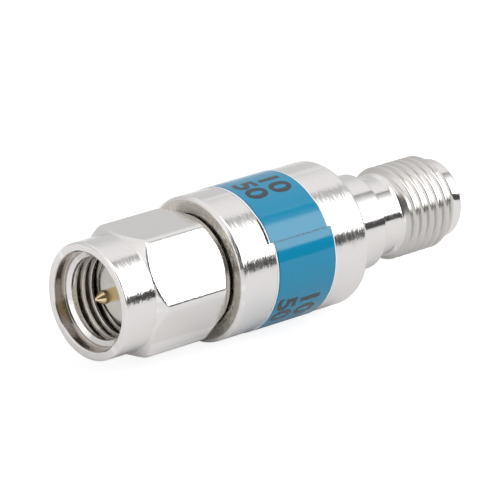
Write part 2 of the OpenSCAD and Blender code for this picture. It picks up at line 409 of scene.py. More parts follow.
class NodeTree:
    """Short ways to place and join shader nodes."""

    def __init__(self, tree: bpy.types.NodeTree) -> None:
        """Keeps the tree and clears it."""
        self.tree = tree
        tree.nodes.clear()

    def add(self, kind: str, sockets: dict | None = None, **settings) -> bpy.types.Node:
        """Places a node.

        Args:
            kind: The node's type, without its ShaderNode prefix.
            sockets: Values or output sockets for its inputs, by name or index.
            settings: Properties of the node.

        Returns:
            The node.
        """
        node = self.tree.nodes.new(kind if kind.startswith("Node") else "ShaderNode" + kind)
        for name, value in settings.items():
            setattr(node, name, value)
        for name, value in (sockets or {}).items():
            if isinstance(value, Socket):
                self.tree.links.new(value, node.inputs[name])
            else:
                node.inputs[name].default_value = value
        return node

    def math(self, operation: str, *values: float | Socket) -> Socket:
        """A Math node's result."""
        return self.add("Math", dict(enumerate(values)), operation=operation).outputs[0]

    def ramp(self, value: Socket, low: float, high: float, to: Span = (0, 1)) -> Socket:
        """A value mapped smoothly from one range to another."""
        sockets = {0: value, 1: low, 2: high, 3: to[0], 4: to[1]}
        return self.add("MapRange", sockets, interpolation_type="SMOOTHSTEP").outputs[0]

    def window(self, value: Socket, low: float, high: float, soft: float) -> Socket:
        """Makes a mask that is 1 between two values.

        Args:
            value: The value that is looked at.
            low: Lower end of the window.
            high: Upper end of the window.
            soft: Half the width that the mask fades over at each end.

        Returns:
            The mask.
        """
        rise = self.ramp(value, low - soft, low + soft)
        fall = self.ramp(value, high - soft, high + soft, (1, 0))
        return self.math("MULTIPLY", rise, fall)

    def mix(self, share: Socket, a: Colour | Socket, b: Colour | Socket) -> Socket:
        """Mixes two colours.

        Args:
            share: How much of the second colour shows.
            a: The first colour.
            b: The second colour.

        Returns:
            The mixed colour.
        """
        sockets = {0: share}
        for index, colour in ((6, a), (7, b)):
            sockets[index] = (*colour, 1) if isinstance(colour, tuple) else colour
        return self.add("Mix", sockets, data_type="RGBA").outputs[2]

    def blend(self, share: Socket, a: float | Socket, b: float | Socket) -> Socket:
        """Two levels mixed."""
        return self.add("Mix", {0: share, 2: a, 3: b}, data_type="FLOAT").outputs[0]

    def spread(self, mask: Socket, width: float, low: float) -> Socket:
        """A level that a mask raises from its low end."""
        return self.math("ADD", self.math("MULTIPLY", mask, width), low)

    def bump(self, height: Socket, depth: float) -> Socket:
        """A normal that follows a height of so many millimetres."""
        return self.add("Bump", {"Height": height, "Strength": 1.0, "Distance": depth * MM}).outputs[0]

    def place(self) -> Socket:
        """The shaded point's place on its own piece, in metres."""
        return self.add("TexCoord").outputs["Object"]

    def group(self, group: bpy.types.NodeTree, **values: float) -> bpy.types.Node:
        """Places a node group.

        Args:
            group: The group.
            values: Its own values, by the names of its inputs.

        Returns:
            The node.
        """
        node = self.tree.nodes.new("ShaderNodeGroup")
        node.node_tree = group
        for name, value in values.items():
            node.inputs[name].default_value = value
        return node


class Effects:
    """Node groups that several finishes share."""

    # Noise levels between which a streak, or a film of handling, grows from nothing to full
    STREAK = (0.35, 0.65)
    FILM = (0.42, 0.72)

    def __init__(self) -> None:
        """Builds each group once."""
        self.turning = self.turning_marks()
        self.smudge = self.smudges()
        self.rub = self.edge_rub()
        self.zone = self.worked_zone()

    @staticmethod
    def new_group(
        name: str, inputs: Sequence[str], outputs: Sequence[str]
    ) -> tuple[NodeTree, dict[str, Socket]]:
        """Starts a group of float sockets.

        Args:
            name: The group's name.
            inputs: Names of its inputs.
            outputs: Names of its outputs.

        Returns:
            Its tree, and its input sockets by name.
        """
        group = bpy.data.node_groups.new(name, "ShaderNodeTree")
        for side, names in (("INPUT", inputs), ("OUTPUT", outputs)):
            for socket in names:
                group.interface.new_socket(socket, in_out=side, socket_type="NodeSocketFloat")
        tree = NodeTree(group)
        given = tree.add("NodeGroupInput").outputs
        return tree, {socket: given[socket] for socket in inputs}

    def turning_marks(self) -> bpy.types.NodeTree:
        """Makes fine marks that run round the axis.

        Returns:
            The group, which gives a height, and a streak from 0 to 1.
        """
        tree, given = self.new_group("turning_marks", ["Marks", "Run"], ["Height", "Streak"])
        axes = tree.add("SeparateXYZ", {0: tree.place()}).outputs
        radial = tree.add("CombineXYZ", {1: axes[1], 2: axes[2]}).outputs[0]
        radius = tree.add("VectorMath", {0: radial}, operation="LENGTH").outputs["Value"]
        around = tree.add("VectorMath", {0: radial}, operation="NORMALIZE").outputs[0]
        around = tree.add("SeparateXYZ", {0: around}).outputs
        along = tree.math("MULTIPLY", tree.math("ADD", axes[0], radius), 1 / MM)
        spot = tree.add("CombineXYZ", {
            0: tree.math("MULTIPLY", along, given["Marks"]),
            1: tree.math("MULTIPLY", around[1], given["Run"]),
            2: tree.math("MULTIPLY", around[2], given["Run"]),
        }).outputs[0]
        sockets = {"Vector": spot, "Scale": 1.0, "Detail": 3.0, "Roughness": 0.6}
        noise = tree.add("TexNoise", sockets).outputs[0]
        tree.add("NodeGroupOutput", {"Height": noise, "Streak": tree.ramp(noise, *self.STREAK)})
        return tree.tree

    def smudges(self) -> bpy.types.NodeTree:
        """Makes an uneven film from handling, and slow waves of the surface.

        Returns:
            The group, which gives the film as a mask and the waves as a height.
        """
        tree, given = self.new_group("smudges", ["Per mm"], ["Film", "Wave"])
        spots = {"Vector": tree.place(), "Scale": tree.math("MULTIPLY", given["Per mm"], 1 / MM)}
        film = tree.add("TexNoise", {**spots, "Detail": 5.0, "Roughness": 0.65}).outputs[0]
        wave = tree.add("TexNoise", {**spots, "Detail": 0.0}).outputs[0]
        tree.add("NodeGroupOutput", {"Film": tree.ramp(film, *self.FILM), "Wave": wave})
        return tree.tree

    def edge_rub(self) -> bpy.types.NodeTree:
        """Finds edges that handling has rubbed bright.

        Returns:
            The group, which gives a mask.
        """
        tree, given = self.new_group("edge_rub", ["From", "To"], ["Edge"])
        pointed = tree.add("NewGeometry").outputs["Pointiness"]
        rubbed = tree.add("MapRange", {0: pointed, 1: given["From"], 2: given["To"], 3: 0.0, 4: 1.0})
        tree.add("NodeGroupOutput", {"Edge": rubbed.outputs[0]})
        return tree.tree

    def worked_zone(self) -> bpy.types.NodeTree:
        """Marks off a stretch of the axis within a radius, both in millimetres.

        Returns:
            The group, which gives a mask.
        """
        tree, given = self.new_group("worked_zone", ["Within", "From", "To"], ["Zone"])
        place = tree.place()
        along = tree.math("MULTIPLY", tree.add("SeparateXYZ", {0: place}).outputs[0], 1 / MM)
        radial = tree.add("VectorMath", {0: place, 1: (0, 1, 1)}, operation="MULTIPLY").outputs[0]
        radius = tree.add("VectorMath", {0: radial}, operation="LENGTH").outputs["Value"]
        inside = tree.math("LESS_THAN", tree.math("MULTIPLY", radius, 1 / MM), given["Within"])
        stretch = tree.math(
            "MULTIPLY",
            tree.math("GREATER_THAN", along, given["From"]),
            tree.math("LESS_THAN", along, given["To"]),
        )
        tree.add("NodeGroupOutput", {"Zone": tree.math("MULTIPLY", inside, stretch)})
        return tree.tree


def mount(name: str) -> dict:
    """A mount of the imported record."""
    return next(m for m in frame["record"]["mounts"] if m["name"] == name)


def mount_radius(name: str) -> float:
    """A round mount's radius."""
    return mount(name)["dims"]["r_mm"]


def span(node: str, axis: int = 0) -> Span:
    """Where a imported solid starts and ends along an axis."""
    low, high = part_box(node)
    return low[axis] / MM, high[axis] / MM


def radius_of(node: str) -> float:
    """A packed round solid's outer radius."""
    return span(node, 2)[1]


@dataclass(frozen=True)
class TapeWrap:
    """How the tape goes round the body: its width, and where and at what angle its seam is."""

    width: float = 5.14
    seam: float = 152
    overlap: float = 0.6

    @property
    def start(self) -> float:
        """Place of the tape's plug side where the wrap starts."""
        return span("label_tape")[1] - self.width

    @property
    def drift(self) -> float:
        """Drift of the wrap towards the plug over one turn."""
        left, right = span("label_tape")
        return right - left - self.width


def new_material(name: str) -> tuple[NodeTree, bpy.types.Material]:
    """Starts a node material.

    Args:
        name: The material's name.

    Returns:
        Its cleared tree, and the material.
    """
    material = bpy.data.materials.new(name)
    material.use_nodes = True
    return NodeTree(material.node_tree), material


@dataclass(frozen=True)
class Zone:
    """A stretch of the axis, within a radius, whose colour and roughness differ from the rest of its piece;
    its colour is painted shade or a painted highlight.
    """

    start: float
    end: float
    within: float
    colour: Colour
    roughness: float


@dataclass(frozen=True)
class Finish:
    """What every finish has: a name, and nodes that lead to one shader."""

    name: str

    def sockets(self, tree: NodeTree, effects: Effects) -> dict[str, object]:
        """Lays out the finish's own nodes.

        Args:
            tree: The material's nodes.
            effects: The shared node groups.

        Returns:
            What goes into the shader, by the names of its inputs.
        """
        raise NotImplementedError

    def material(self, effects: Effects) -> bpy.types.Material:
        """Builds the finish.

        Args:
            effects: The shared node groups.

        Returns:
            The material.
        """
        tree, material = new_material(self.name)
        shader = tree.add("BsdfPrincipled", self.sockets(tree, effects))
        tree.add("OutputMaterial", {"Surface": shader.outputs[0]})
        return material


@dataclass(frozen=True)
class MetalFinish(Finish):
    """Plated or bare metal with its turning marks, and with zones such as a thread or a bore whose colours
    are painted shade or a painted highlight.
    """

    colour: Colour
    rubbed: Colour
    roughness: Span
    grain: Grain
    zones: tuple[Zone, ...] = ()
    run: float = 7.0
    film_per_mm: float = 0.9
    film_share: float = 0.6
    streak_share: float = 0.4
    rub_from: float = 0.52
    rub_to: float = 0.62

    def sockets(self, tree: NodeTree, effects: Effects) -> dict[str, object]:
        """Lays out the metal's nodes.

        Args:
            tree: The material's nodes.
            effects: The shared node groups.

        Returns:
            What goes into the shader, by the names of its inputs.
        """
        marks, depth = self.grain.value
        turning = tree.group(effects.turning, Marks=marks, Run=self.run).outputs
        film = tree.group(effects.smudge, **{"Per mm": self.film_per_mm}).outputs["Film"]
        edge = tree.group(effects.rub, From=self.rub_from, To=self.rub_to).outputs["Edge"]
        colour = tree.mix(edge, self.colour, self.rubbed)
        low, high = self.roughness
        marked = tree.math("MULTIPLY", turning["Streak"], self.streak_share)
        uneven = tree.math("ADD", tree.math("MULTIPLY", film, self.film_share), marked)
        roughness = tree.spread(uneven, high - low, low)
        # Each zone lays its colour over the metal's: painted shade in hollows, grooves and gaps (with some
        # tarnish in the nut's mouth), and a painted highlight on the nut's thread crests
        for zone in self.zones:
            bounds = {"Within": zone.within, "From": zone.start, "To": zone.end}
            mask = tree.group(effects.zone, **bounds).outputs["Zone"]
            colour = tree.mix(mask, colour, zone.colour)
            roughness = tree.blend(mask, roughness, tree.spread(uneven, high - low, zone.roughness))
        return {
            "Base Color": colour,
            "Metallic": 1.0,
            "Roughness": roughness,
            "Normal": tree.bump(turning["Height"], depth),
        }


@dataclass(frozen=True)
class InkFinish(Finish):
    """Dull dark ink, a little uneven."""

    colour: Colour
    thin: Colour
    roughness: Span
    per_mm: float = 6.0

    def sockets(self, tree: NodeTree, effects: Effects) -> dict[str, object]:
        """Lays out the ink's nodes.

        Args:
            tree: The material's nodes.
            effects: The shared node groups.

        Returns:
            What goes into the shader, by the names of its inputs.
        """
        fine = tree.group(effects.smudge, **{"Per mm": self.per_mm}).outputs
        low, high = self.roughness
        return {
            "Base Color": tree.mix(fine["Wave"], self.colour, self.thin),
            "Roughness": tree.spread(fine["Film"], high - low, low),
        }


@dataclass(frozen=True)
class TapeFinish(Finish):
    """Glossy blue film with a pale band along its cut edges, partly the film's pale cut and partly a painted
    highlight, a line of painted shade along its plug-side edge, and dark dashes at its seam, partly adhesive
    and partly painted shadow.
    """

    colour: Colour
    deep: Colour
    core: Colour
    adhesive_and_shade: Colour
    roughness: Span
    wave_depth: float
    wave_per_mm: float = 0.45
    fine_per_mm: float = 6.0
    gloss: float = 0.45
    cut_w: float = 0.08
    cut_full: float = 0.6
    # Width, softness and strength of the painted shade line along the plug-side edge
    edge_shade_w: float = 0.1
    edge_shade_soft: float = 0.2
    edge_shade: float = 0.85
    # Reach and spottiness of the seam's dark dashes, partly adhesive and partly painted shadow
    seam_dash_deg: float = 0.7
    seam_dash_spots: Span = (0.45, 0.55)

    def sockets(self, tree: NodeTree, effects: Effects) -> dict[str, object]:
        """Lays out the tape's nodes.

        Args:
            tree: The material's nodes.
            effects: The shared node groups.

        Returns:
            What goes into the shader, by the names of its inputs.
        """
        wrap = TapeWrap()
        smudge = tree.group(effects.smudge, **{"Per mm": self.wave_per_mm}).outputs
        fine = tree.group(effects.smudge, **{"Per mm": self.fine_per_mm}).outputs
        axes = tree.add("SeparateXYZ", {0: tree.place()}).outputs
        angle = tree.math("DIVIDE", tree.math("ARCTAN2", axes[2], axes[1]), math.tau)
        turn = tree.math("FRACT", tree.math("SUBTRACT", angle, (wrap.seam + wrap.overlap / 2) / 360))
        foot = tree.math("SUBTRACT", wrap.start, tree.math("MULTIPLY", turn, wrap.drift))
        across = tree.math("SUBTRACT", tree.math("DIVIDE", axes[0], MM), foot)
        from_edge = tree.math("MINIMUM", across, tree.math("SUBTRACT", wrap.width, across))
        # A pale band along both cut edges: partly the film's pale cut, partly a painted highlight
        cut = tree.ramp(from_edge, self.cut_full * self.cut_w, self.cut_w, (1, 0))
        # Dark dashes close to both ends of the wrap, along the seam: partly adhesive, partly painted shadow
        # under the lifted end
        from_end = tree.math("MINIMUM", turn, tree.math("SUBTRACT", 1.0, turn))
        end = tree.ramp(from_end, 0, self.seam_dash_deg / 360, (1, 0))
        seam_dash = tree.math("MULTIPLY", end, tree.ramp(fine["Wave"], *self.seam_dash_spots))
        # A dark line just inside the plug-side cut edge: painted shade where that edge faces away from the
        # light
        soft = self.edge_shade_soft * self.edge_shade_w
        line = tree.window(across, self.cut_w, self.cut_w + self.edge_shade_w, soft)
        edge_shade = tree.math("MULTIPLY", line, self.edge_shade)
        film = tree.mix(edge_shade, tree.mix(fine["Wave"], self.colour, self.deep), self.adhesive_and_shade)
        low, high = self.roughness
        return {
            "Base Color": tree.mix(seam_dash, tree.mix(cut, film, self.core), self.adhesive_and_shade),
            "Roughness": tree.spread(smudge["Film"], high - low, low),
            "Specular IOR Level": self.gloss,
            "Normal": tree.bump(smudge["Wave"], self.wave_depth),
        }


@dataclass(frozen=True)
class SolidFinish(Finish):
    """A dull non-metal through and through: fluoropolymer or ceramic, with a faint painted glow that
    lightens it where it sits in shade.
    """

    colour: Colour
    stained: Colour
    roughness: Span
    # Subsurface weight, which also scales the painted glow
    glow: float
    run: float = 3.0
    film_per_mm: float = 0.8
    glow_depth: Colour = (0.4, 0.35, 0.3)
    painted_glow_tint: Colour = (1.0, 0.97, 0.92)
    painted_glow_strength: float = 0.2

    def sockets(self, tree: NodeTree, effects: Effects) -> dict[str, object]:
        """Lays out the solid's nodes.

        Args:
            tree: The material's nodes.
            effects: The shared node groups.

        Returns:
            What goes into the shader, by the names of its inputs.
        """
        marks, depth = Grain.FINE.value
        turning = tree.group(effects.turning, Marks=marks, Run=self.run).outputs
        film = tree.group(effects.smudge, **{"Per mm": self.film_per_mm}).outputs["Film"]
        low, high = self.roughness
        return {
            "Base Color": tree.mix(film, self.colour, self.stained),
            "Roughness": tree.spread(film, high - low, low),
            "Subsurface Weight": self.glow,
            "Subsurface Radius": tuple(d * MM for d in self.glow_depth),
            "Subsurface Scale": 1.0,
            # Emission that is painted light: the part glows a little so that it looks lit inside the nut
            "Emission Color": (*self.painted_glow_tint, 1),
            "Emission Strength": self.painted_glow_strength * self.glow,
            "Normal": tree.bump(turning["Height"], depth),
        }


class Palette:
    """Every finish of the part, made once."""

    NICKEL = (0.80, 0.784, 0.776)
    RUBBED = (0.90, 0.888, 0.88)
    # How far a zone reaches past the wall, the crests or the socket that it covers
    WALL_OVER = 0.04
    CREST_OVER = 0.03
    SOCKET_OVER = 0.01
    THREAD_OVER = 0.1
    # The mouth's zone stops short of its step, and the thread's zones start behind the bright cone
    STEP_SHORT = 0.02
    CONE_LEN = 0.22
    # How far the body's face zone, painted darker as shade in the gap behind the nut, reaches ahead of the
    # face and behind it
    FACE_AHEAD = 0.01
    FACE_BEHIND = 0.1
    # Length that the jack's thread zone of painted shade adds at each end
    THREAD_ENDS = 0.3

    def __init__(self) -> None:
        """Builds the shared effects and the materials."""
        effects = Effects()
        blues = ((0.003, 0.178, 0.314), (0.004, 0.198, 0.342))
        # The tape's pale edge, partly a painted highlight, and the dark colour of its painted shade line and
        # seam dashes
        edges = ((0.78, 0.86, 0.90), (0.015, 0.05, 0.08))
        inks = ((0.012, 0.018, 0.024), (0.024, 0.034, 0.042))
        golds = ((0.82, 0.65, 0.36), (0.93, 0.78, 0.52))
        bronzes = ((0.62, 0.38, 0.2), (0.75, 0.52, 0.32))
        plate = (self.NICKEL, self.RUBBED)
        finishes = (
            MetalFinish("nut_nickel", *plate, (0.09, 0.2), Grain.TURNED, self.nut_zones()),
            MetalFinish("body_nickel", *plate, (0.12, 0.26), Grain.TURNED, self.body_zones()),
            MetalFinish("jack_nickel", *plate, (0.09, 0.18), Grain.POLISHED, self.jack_zones()),
            MetalFinish("inner_nickel", (0.78, 0.755, 0.72), self.RUBBED, (0.14, 0.28), Grain.FINE),
            MetalFinish("gold_plate", *golds, (0.14, 0.26), Grain.FINE, self.socket_zones()),
            MetalFinish("spring_bronze", *bronzes, (0.25, 0.4), Grain.FINE),
            TapeFinish("blue_tape", *blues, *edges, (0.07, 0.12), 0.012),
            InkFinish("ink", *inks, (0.2, 0.3)),
            SolidFinish("fluoropolymer", (0.95, 0.94, 0.90), (0.9, 0.88, 0.83), (0.35, 0.55), 0.25),
            SolidFinish("alumina", (0.86, 0.85, 0.8), (0.78, 0.77, 0.72), (0.5, 0.7), 0.1),
        )
        self.materials = {finish.name: finish.material(effects) for finish in finishes}

    def nut_zones(self) -> tuple[Zone, ...]:
        """Marks off the nut's mouth, darker and browner from tarnish and painted shade, its thread darkened
        with painted shade in the grooves, and its crests lightened with a painted highlight.

        Returns:
            The zones, each over the one before.
        """
        front, back = span("coupling_nut")
        bore_r = mount_radius("nut_mouth") + self.WALL_OVER
        crest_r = mount_radius("nut_thread") + self.CREST_OVER
        mouth_end = front + CouplingNut.mouth_depth
        thread = mouth_end + self.CONE_LEN
        return (
            # The mouth's wall, darker and browner: tarnish and painted shade of the recess
            Zone(front, mouth_end - self.STEP_SHORT, bore_r, (0.46, 0.41, 0.37), 0.14),
            # The whole thread darkened: painted shade in its grooves
            Zone(thread, back, bore_r, (0.30, 0.27, 0.245), 0.12),
            # The crests lightened over it: a painted highlight
            Zone(thread, back, crest_r, (0.86, 0.84, 0.81), 0.25),
        )

    def body_zones(self) -> tuple[Zone, ...]:
        """Marks off the body's front face, inside its bevel, painted darker: painted shade in the gap
        between the nut and the body.

        Returns:
            The zone.
        """
        front = span("body_sleeve")[0]
        face_r = radius_of("body_sleeve") - LabelledBody.front_bevel
        ends = (front - self.FACE_AHEAD, front + self.FACE_BEHIND)
        # The face's darker colour is painted shade
        return (Zone(*ends, face_r, (0.58, 0.55, 0.50), 0.21),)

    def jack_zones(self) -> tuple[Zone, ...]:
        """Marks off the jack's outer thread, painted darker than the rest of the shell: painted shade that
        tones down the bright reflection on it.

        Returns:
            The zone.
        """
        middle = mount("jack_thread")["pos_m"][0] / MM
        half = mount("jack_thread")["dims"]["length_mm"] / 2 + self.THREAD_ENDS
        thread_r = mount_radius("jack_thread") + self.THREAD_OVER
        return (Zone(middle - half, middle + half, thread_r, (0.65, 0.634, 0.618), 0.17),)

    def socket_zones(self) -> tuple[Zone, ...]:
        """Painted shade in the hollow of the jack's contact."""
        socket_r = mount_radius("jack_socket") + self.SOCKET_OVER
        return (Zone(*span("jack_contact"), socket_r, (0.22, 0.15, 0.06), 0.3),)

    def dress(self, obj: bpy.types.Object, name: str) -> None:
        """Gives an object one finish."""
        obj.data.materials.clear()
        obj.data.materials.append(self.materials[name])


@dataclass
class SubAssembly:
    """Pieces that are built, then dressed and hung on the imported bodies."""

    palette: Palette

    def hang(self, obj: bpy.types.Object, node: str, body: Body, slot: str) -> None:
        """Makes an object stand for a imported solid.

        Args:
            obj: The object.
            node: The solid that it replaces.
            body: The body that it rides on.
            slot: The record's material slot, which its finish is named for.
        """
        self.palette.dress(obj, slot)
        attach(obj, body.value)
        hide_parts(node)
        LOG.info("%s: %d faces, rides on %s", obj.name, len(obj.data.polygons), body.value)


@dataclass
class CouplingNut(SubAssembly):
    """The captive nut: round nose, chamfered hexagon, rear collar, smooth mouth and inner thread."""

    nose_r: float = 3.9
    nose_len: float = 2.45
    nose_round: float = 0.16
    hex_len: float = 6.0
    front_angle: float = 40
    back_angle: float = 45
    back_face_in: float = 0.05
    edge_round: float = 0.4
    corner_round: float = 0.7
    collar_r: float = 3.85
    mouth_depth: float = 0.85
    mouth_bevel: float = 0.09
    mouth_step: float = 0.22
    lead_angle: float = 31
    run_in: float = 0.3
    bore_r: float = 2.68
    ring_gap: float = 0.03
    corner_span: float = 4
    corner_step: float = 0.5
    flat_from: float = 5.5
    flat_step: float = 1.75

    def angles(self) -> np.ndarray:
        """Spaces angles round the nut, close together at the hexagon's corners.

        Returns:
            The angles.
        """
        near = np.arange(0, self.corner_span + self.corner_step / 2, self.corner_step)
        flat = np.arange(self.flat_from, 60 - self.flat_from + self.flat_step / 2, self.flat_step)
        sixth = np.concatenate([near, flat, 60 - near[:0:-1]])
        return np.radians(np.concatenate([sixth + 60 * k for k in range(6)]))

    def hexagon(self, angles: np.ndarray) -> np.ndarray:
        """Draws the hexagon with rounded corners.

        Args:
            angles: Angles round the axis.

        Returns:
            The hexagon's radius at each angle.
        """
        half_af = span("coupling_nut", 2)[1]
        off = np.abs(np.degrees(angles) % 60 - 30)
        flat = half_af / np.cos(np.radians(off))
        centre = (half_af - self.corner_round) / math.cos(math.radians(30))
        aside = np.radians(30 - off)
        bow = np.sqrt(np.maximum(self.corner_round**2 - (centre * np.sin(aside)) ** 2, 0))
        side = (half_af - self.corner_round) * math.tan(math.radians(30))
        touch = math.degrees(math.atan(side / half_af))
        return np.where(off <= touch, flat, centre * np.cos(aside) + bow)

    def section(self, angles: np.ndarray) -> Section:
        """Draws the nut's section, from the mouth through the inside and back outside.

        Args:
            angles: Angles round the axis.

        Returns:
            The section, whose hexagon has a radius for each angle.
        """
        front, back = span("coupling_nut")
        ring_front, ring_back = span("retaining_ring")
        mouth_r = mount_radius("nut_mouth")
        thread_r = mount_radius("nut_thread")
        groove_r = radius_of("retaining_ring") + self.ring_gap
        hex_front = front + self.nose_len
        hex_back = hex_front + self.hex_len
        mouth_end = front + self.mouth_depth
        thread_end = mouth_end + (mouth_r - thread_r) + mount("nut_thread")["dims"]["length_mm"]
        hex_r = self.hexagon(angles)
        back_face_r = span("coupling_nut", 2)[1] - self.back_face_in
        front_slope = math.tan(math.radians(self.front_angle))
        back_slope = math.tan(math.radians(self.back_angle))
        thread = ThreadForm(thread_r, ThreadSide.INNER)
        lead_r = mouth_r - self.mouth_step
        thread_start = mouth_end + (lead_r - thread_r) * math.tan(math.radians(self.lead_angle))
        plain = np.array([[thread_start, thread_r], [thread_end, thread_r]])
        return [
            Corner(front, mouth_r + self.mouth_bevel, Edge.DEBURRED),
            Corner(front + self.mouth_bevel, mouth_r, Edge.DEBURRED),
            Corner(mouth_end, mouth_r, Edge.DEBURRED),
            Corner(mouth_end, lead_r, Edge.CRISP),
            ThreadRun(thread, thread_start, thread_end, plain, (0, self.run_in)),
            Corner(thread_end, self.bore_r),
            Corner(ring_front - self.ring_gap, self.bore_r),
            Corner(ring_front - self.ring_gap, groove_r),
            Corner(ring_back + self.ring_gap, groove_r),
            Corner(ring_back + self.ring_gap, self.bore_r),
            Corner(back, self.bore_r, Edge.BROKEN),
            Corner(back, self.collar_r, Edge.SOFT),
            Corner(hex_back, self.collar_r, Edge.BROKEN),
            Corner(hex_back, back_face_r, Edge.DEBURRED),
            Corner(hex_back - (hex_r - back_face_r) * back_slope, hex_r, self.edge_round),
            Corner(hex_front + (hex_r - self.nose_r) * front_slope, hex_r, self.edge_round),
            Corner(hex_front, self.nose_r, Edge.SOFT),
            Corner(front, self.nose_r, self.nose_round),
        ]

    def build(self) -> None:
        """Turns the nut and hangs it on its body."""
        angles = self.angles()
        nut = turned("nut_dressed", self.section(angles), angles)
        self.hang(nut, "coupling_nut", Body.NUT, "nut_nickel")


@dataclass
class CoaxialEnd(SubAssembly):
    """What the plug and the jack share: a front insulator, and a conductor that grips the chip."""

    line_r: float = 0.635
    shoulder_r: float = 1.0
    shoulder_len: float = 0.4
    chip_t: float = 0.5
    chip_grip: float = 0.6

    def insulator(self, name: str, node: str, face: float, back: float) -> bpy.types.Object:
        """Turns a front insulator.

        Args:
            name: The object's name.
            node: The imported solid.
            face: Place of its open face.
            back: Place of its hidden face.

        Returns:
            The object.
        """
        outer_r = radius_of(node)
        return turned(name, [
            Corner(face, self.line_r, Edge.BROKEN),
            Corner(back, self.line_r),
            Corner(back, outer_r),
            Corner(face, outer_r, Edge.EASED),
        ])

    def chip_slot(self, start: float, end: float) -> Cut:
        """The slot that takes the chip, between two places along the axis."""
        wide, half = 2 * self.line_r, self.chip_t / 2
        return (start, -wide, -half), (end, wide, half)


@dataclass
class PlugFront(CoaxialEnd):
    """What shows inside the nut: the barrel, the front insulator and the centre pin."""

    barrel_r: float = 2.3
    barrel_len: float = 2.9
    groove_depth: float = 0.37
    groove_front: float = 3.33
    groove_back: float = 4.32
    spigot_wall: float = 0.4
    rim_round: float = 0.05
    pin_cone: float = 0.55
    cone_round: float = 0.09
    pin_point_r: float = 0.08
    pin_root: float = 0.04

    def barrel(self) -> bpy.types.Object:
        """Turns the barrel with its neck, ring groove and spigot.

        Returns:
            The object.
        """
        front, back = span("plug_barrel")
        neck_r = radius_of("plug_barrel")
        inside_r = radius_of("plug_front_insulator")
        body_front = span("body_sleeve")[0]
        spigot_r = inside_r + self.spigot_wall
        return turned("barrel_dressed", [
            Corner(front, inside_r, Edge.CRISP),
            Corner(back, inside_r),
            Corner(back, spigot_r),
            Corner(body_front, spigot_r),
            Corner(body_front, neck_r),
            Corner(self.groove_back, neck_r, Edge.DEBURRED),
            Corner(self.groove_back, neck_r - self.groove_depth),
            Corner(self.groove_front, neck_r - self.groove_depth),
            Corner(self.groove_front, neck_r, Edge.DEBURRED),
            Corner(self.barrel_len, neck_r, Edge.SOFT),
            Corner(self.barrel_len, self.barrel_r, Edge.EASED),
            Corner(front, self.barrel_r, self.rim_round),
        ])

    def pin(self) -> bpy.types.Object:
        """Turns the pin and saws the slot that takes the chip.

        Returns:
            The object.
        """
        tip, end = span("plug_pin")
        shoulder = span("plug_front_insulator")[1]
        pin_r = mount_radius("plug_pin")
        pin = turned("pin_dressed", [
            Corner(tip, 0),
            Corner(tip, self.pin_point_r, Edge.EASED),
            Corner(tip + self.pin_cone, pin_r, self.cone_round),
            Corner(self.pin_root, pin_r, Edge.CRISP),
            Corner(self.pin_root, self.line_r, Edge.DEBURRED),
            Corner(shoulder, self.line_r),
            Corner(shoulder, self.shoulder_r),
            Corner(shoulder + self.shoulder_len, self.shoulder_r),
            Corner(shoulder + self.shoulder_len, self.line_r),
            Corner(end, self.line_r, Edge.BROKEN),
            Corner(end, 0),
        ])
        sawn(pin, [self.chip_slot(end - self.chip_grip, end + SAW_OVER)])
        return pin

    def build(self) -> None:
        """Makes the three pieces and hangs them on the main body."""
        self.hang(self.barrel(), "plug_barrel", Body.MAIN, "inner_nickel")
        node = "plug_front_insulator"
        insulator = self.insulator("plug_insulator_dressed", node, *span(node))
        self.hang(insulator, node, Body.MAIN, "fluoropolymer")
        self.hang(self.pin(), "plug_pin", Body.MAIN, "gold_plate")


